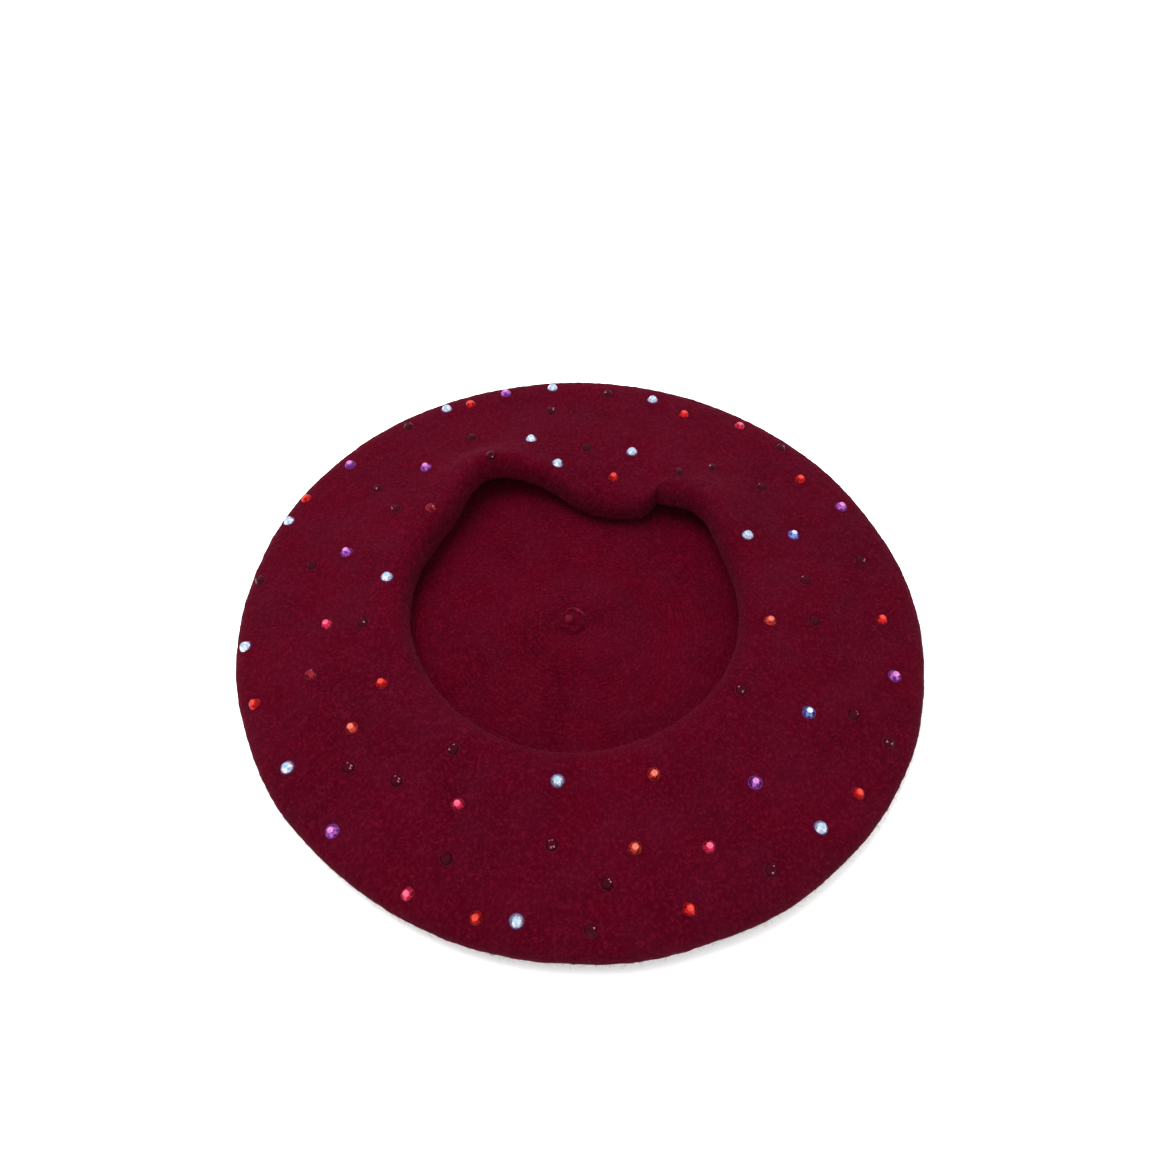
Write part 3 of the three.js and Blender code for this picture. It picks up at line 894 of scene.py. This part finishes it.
def make_pucker():
    """The knitting drawn together at the middle of the crown: a low swirled dome with one standing fold.

    Its fold and its blob take a lighter felt, a painted highlight where the light falls on them."""
    low, high = (np.array(corner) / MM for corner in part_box("centre_knot"))
    middle = (low + high) / 2
    radius = (np.arange(1, PUCKER_ROWS + 1) / PUCKER_ROWS * PUCKER_RADIUS)[:, None]
    angle = (np.arange(PUCKER_COLUMNS) * 360 / PUCKER_COLUMNS)[None, :]
    across, along = radius * np.cos(np.radians(angle)), radius * np.sin(np.radians(angle))
    height = PUCKER_HEIGHT * (1 - smoothstep(radius, PUCKER_TOP, PUCKER_RADIUS))
    for part in (PUCKER_BLOB, PUCKER_DIP):
        away = np.hypot(across - part["x"], along - part["y"]) / part["radius"]
        height = height + part["height"] * np.exp(-(away**2))
    swirl = np.cos(np.radians(PUCKER_SWIRL["arms"] * (angle + PUCKER_SWIRL["twist"] * radius)))
    swirl_away = (radius - PUCKER_SWIRL["radius"]) / PUCKER_SWIRL["reach"]
    height += PUCKER_SWIRL["height"] * swirl * np.exp(-(swirl_away**2))
    fold_away = (radius - PUCKER_FOLD["radius"]) / PUCKER_FOLD["reach"]
    fold = PUCKER_FOLD["height"] * np.exp(-(fold_away**2))
    fold = fold * bump(angle, PUCKER_FOLD["angle"], PUCKER_FOLD["width"], 4)
    height = height + fold - PUCKER_EDGE["sink"] * smoothstep(radius, PUCKER_EDGE["radius"], PUCKER_RADIUS)
    blob_away = np.hypot(across - PUCKER_BLOB["x"], along - PUCKER_BLOB["y"])
    # The fold's top and the blob take the lighter felt: a painted highlight.
    worn = (fold > PUCKER_HIGHLIGHT_SHARE * PUCKER_FOLD["height"]) | (blob_away < PUCKER_BLOB["radius"])
    floor = HOLLOW_DEPTH + FELT
    base = floor - PUCKER_DEPTH
    top = np.stack([middle[0] + across, middle[1] + along, floor + height], axis=-1)
    top[..., 2] += PUCKER_RELIEF * lattice_noise(top, PUCKER_RELIEF_SIZE, 23)
    under = top[-1:] * 1.0
    under[..., 2] = base
    grid = np.concatenate([under, top[::-1]])
    crown = [middle[0], middle[1], top[0, :, 2].mean()]
    points = np.concatenate([grid.reshape(-1, 3), [[middle[0], middle[1], base]], [crown]])
    quads, fans = closed_rings(PUCKER_ROWS + 1, PUCKER_COLUMNS)
    slots = np.concatenate([worn[::-1].ravel(), np.zeros(2 * PUCKER_COLUMNS)])
    pucker = make_mesh("centre_pucker", points, [quads[:, ::-1], fans[:, ::-1]],
                       [FELT_INSIDE, FELT_HIGHLIGHTED], slots)
    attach(pucker, "hat")
    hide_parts("centre_knot")


def make_stalk():
    """The felt stalk, folded flat along +X under the crown."""
    root = np.array(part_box("stalk")[0]) / MM
    top = np.array(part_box("stalk")[1]) / MM
    height = (root[2] + top[2]) / 2
    start, end = root[0] + STALK_ENDS[0], top[0] - STALK_ENDS[1]
    shares, radii = np.array(STALK_PROFILE).T
    fine = np.linspace(0, shares[-1], STALK_STEPS)
    path = np.zeros((STALK_STEPS, 3))
    path[:, 0] = start + (end - start) * fine
    path[:, 2] = height
    points, faces = tube(path, np.interp(fine, shares, radii), STALK_SIDES, STALK_FLATTENING)
    away = (points - (0, 0, height)) * (0, 1, 1)
    relief = sum(share * lattice_noise(points, size, seed) for share, size, seed in STALK_RELIEF)
    points += away * relief[:, None]
    stalk = make_mesh("felt_stalk", points, faces, [FELT_OUTSIDE])
    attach(stalk, "stalk")
    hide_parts("stalk")


def ring_path(radius, height, degrees):
    """Laid points of a ring in the hem."""
    turn = np.radians(degrees)
    heights = np.broadcast_to(height, turn.shape)
    points = np.column_stack([radius * np.cos(turn), radius * np.sin(turn), heights])
    return lay(points, np.ones(len(points)))


def make_elastic():
    """The braided elastic in the hem's fold."""
    steps = np.arange(ELASTIC_STEPS)
    path = ring_path(ELASTIC_RING, ELASTIC_HEIGHT, steps * 360 / ELASTIC_STEPS)
    _, rings = rings_about(np.roll(path, -1, axis=0) - np.roll(path, 1, axis=0), ELASTIC_SIDES)
    turn = np.arange(ELASTIC_SIDES) * 2 * math.pi / ELASTIC_SIDES
    run = steps[:, None] * 2 * math.pi * ELASTIC_BRAIDS / ELASTIC_STEPS
    braid = 1 + BRAID_RELIEF * np.sin(run + 2 * turn) * np.sin(run - 2 * turn)
    points = (path[:, None] + ELASTIC_RADIUS * braid[..., None] * rings).reshape(-1, 3)
    quads = ring_faces(ELASTIC_STEPS + 1, ELASTIC_SIDES) % (ELASTIC_STEPS * ELASTIC_SIDES)
    material = plain_material("elastic_braid", dark=linear(24, 6, 12), light=linear(52, 18, 28),
                              size_mm=0.5, roughness=0.8, bump_mm=0.1)
    cord = make_mesh("braided_elastic", points, quads[:, ::-1], [material])
    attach(cord, "hat")
    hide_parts("hem_elastic")


def make_stitches():
    """The stitches that hold the turned-in edge, one arch of thread each, with both ends in the felt."""
    share = (THREAD_RING - HEM_TURN[0]) / (HEM_EDGE[0] - HEM_TURN[0])
    face = HEM_TURN[1] + share * (HEM_EDGE[1] - HEM_TURN[1])
    arch = np.linspace(-1, 1, STITCH_POINTS)
    heights = face - THREAD_RADIUS - STITCH_GAP + STITCH_ARCH * arch**4
    shapes = []
    for stitch in range(STITCHES):
        path = ring_path(THREAD_RING, heights, (stitch + STITCH_SHARE * arch) * 360 / STITCHES)
        shapes.append(tube(path, np.full(len(path), THREAD_RADIUS), STITCH_SIDES))
    points, faces = joined(shapes)
    material = plain_material("thread", dark=linear(60, 8, 22), light=linear(92, 20, 38),
                              size_mm=0.35, roughness=0.6, bump_mm=0.06)
    stitches = make_mesh("hem_stitches", points, faces, [material])
    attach(stitches, "hat")
    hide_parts("hem_stitching")


def fibre_material():
    """The wool of a loose fibre, from dark to light along the hat."""
    made = Nodes("wool_fibre")
    cloud = made.noise(made.place(), FIBRE_TONE_SIZE)
    colour = made.mix(made.spread(cloud, 0.35, 0.65), linear(74, 3, 21), linear(112, 22, 42))
    made.set(Base_Color=colour, Roughness=0.9)
    made.shader.inputs["Specular IOR Level"].default_value = FELT_SPECULAR
    return made.material


def make_fibres(grid, normal, radius, outside, part, stones):
    """Loose fibres on the felt that shows, clear of the stones, each bent once halfway along."""
    rng = np.random.default_rng(7)
    seen_inside = (outside < 0.5) & (part < 0.5) & (radius < FIBRE_INSIDE["radius"])
    brushed = (outside > 0.5) & ((part > 0.5) | (radius > REST_RADIUS))
    density = np.where(brushed, 1.0, np.where(seen_inside, FIBRE_INSIDE["density"], 0.0))
    spacing = np.linalg.norm(np.gradient(grid, axis=0), axis=-1)
    around = np.linalg.norm(np.roll(grid, -1, axis=1) - grid, axis=-1)
    weight = (density[:, None] * spacing * around).ravel()
    picks = rng.choice(weight.size, FIBRE_COUNT, p=weight / weight.sum())
    root, up = grid.reshape(-1, 3)[picks], normal.reshape(-1, 3)[picks]
    root = root + rng.normal(0, FIBRE_SCATTER, root.shape) * (1 - np.abs(up))
    near = np.full(len(root), 1e9)
    for x, y in stones:
        near = np.minimum(near, np.hypot(root[:, 0] - x, root[:, 1] - y))
    row = picks // RING_POINTS
    keep = (near > STONE_RADIUS + FIBRE_STONE_GAP) | (outside[row] < 0.5)
    root, up, row = root[keep], up[keep], row[keep]
    count = len(root)
    inner = (outside[row] < 0.5).astype(float)
    heading = rng.normal(size=(count, 3))
    heading -= up * np.sum(heading * up, axis=1, keepdims=True)
    heading /= np.linalg.norm(heading, axis=1, keepdims=True)
    length = rng.uniform(*FIBRE_LENGTH, count) * (1 - FIBRE_INSIDE["shortening"] * inner)
    standing = rng.random(count) < FIBRE_STANDING
    high_lift = rng.uniform(*FIBRE_LIFT["standing"], count)
    low_lift = rng.uniform(*FIBRE_LIFT["lying"], count)
    lift = np.where(standing, high_lift, low_lift)
    curl = rng.normal(0, FIBRE_CURL, count)
    side = np.cross(up, heading)
    forward = (0.5 * length * (1 - 0.5 * lift))[:, None]
    rise = (FIBRE_BEND["rise"] * length * lift + FIBRE_BEND["clear"])[:, None]
    middle = root + heading * forward + up * rise
    bent = heading * np.cos(curl)[:, None] + side * np.sin(curl)[:, None]
    last_rise = np.where(standing, FIBRE_TIP["rise"] * length * lift, -FIBRE_TIP["drop"])[:, None]
    tip = middle + bent * (0.5 * length)[:, None] + up * last_rise
    root = root - up * FIBRE_ROOT
    thick = rng.uniform(*FIBRE_RADIUS, count)
    points = np.zeros((count, 7, 3))
    for corner in range(3):
        turn = corner * 2 * math.pi / 3
        ring = side * math.cos(turn) + up * math.sin(turn)
        points[:, corner] = root + ring * thick[:, None]
        points[:, 3 + corner] = middle + ring * thick[:, None] * FIBRE_BEND["taper"]
    points[:, 6] = tip
    points[..., 2] = np.maximum(points[..., 2], FIBRE_LOWEST)
    start = (np.arange(count) * 7)[:, None]
    sides = [(corner, (corner + 1) % 3) for corner in range(3)]
    walls = [start + np.array([[first, second, 3 + second, 3 + first]]) for first, second in sides]
    ends = [start + np.array([[3 + first, 3 + second, 6]]) for first, second in sides]
    ends.append(start + np.array([[2, 1, 0]]))
    fuzz = make_mesh("felt_fuzz", points.reshape(-1, 3), [np.concatenate(walls), np.concatenate(ends)],
                     [fibre_material()])
    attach(fuzz, "hat")


set_view()
set_stage()
shell, grid, normal, radius, outside, part = make_felt_shell()
felt_tree = BVHTree.FromObject(shell, bpy.context.evaluated_depsgraph_get())
stones = make_stones(felt_tree)
make_pucker()
make_stalk()
make_elastic()
make_stitches()
make_fibres(grid, normal, radius, outside, part, stones)
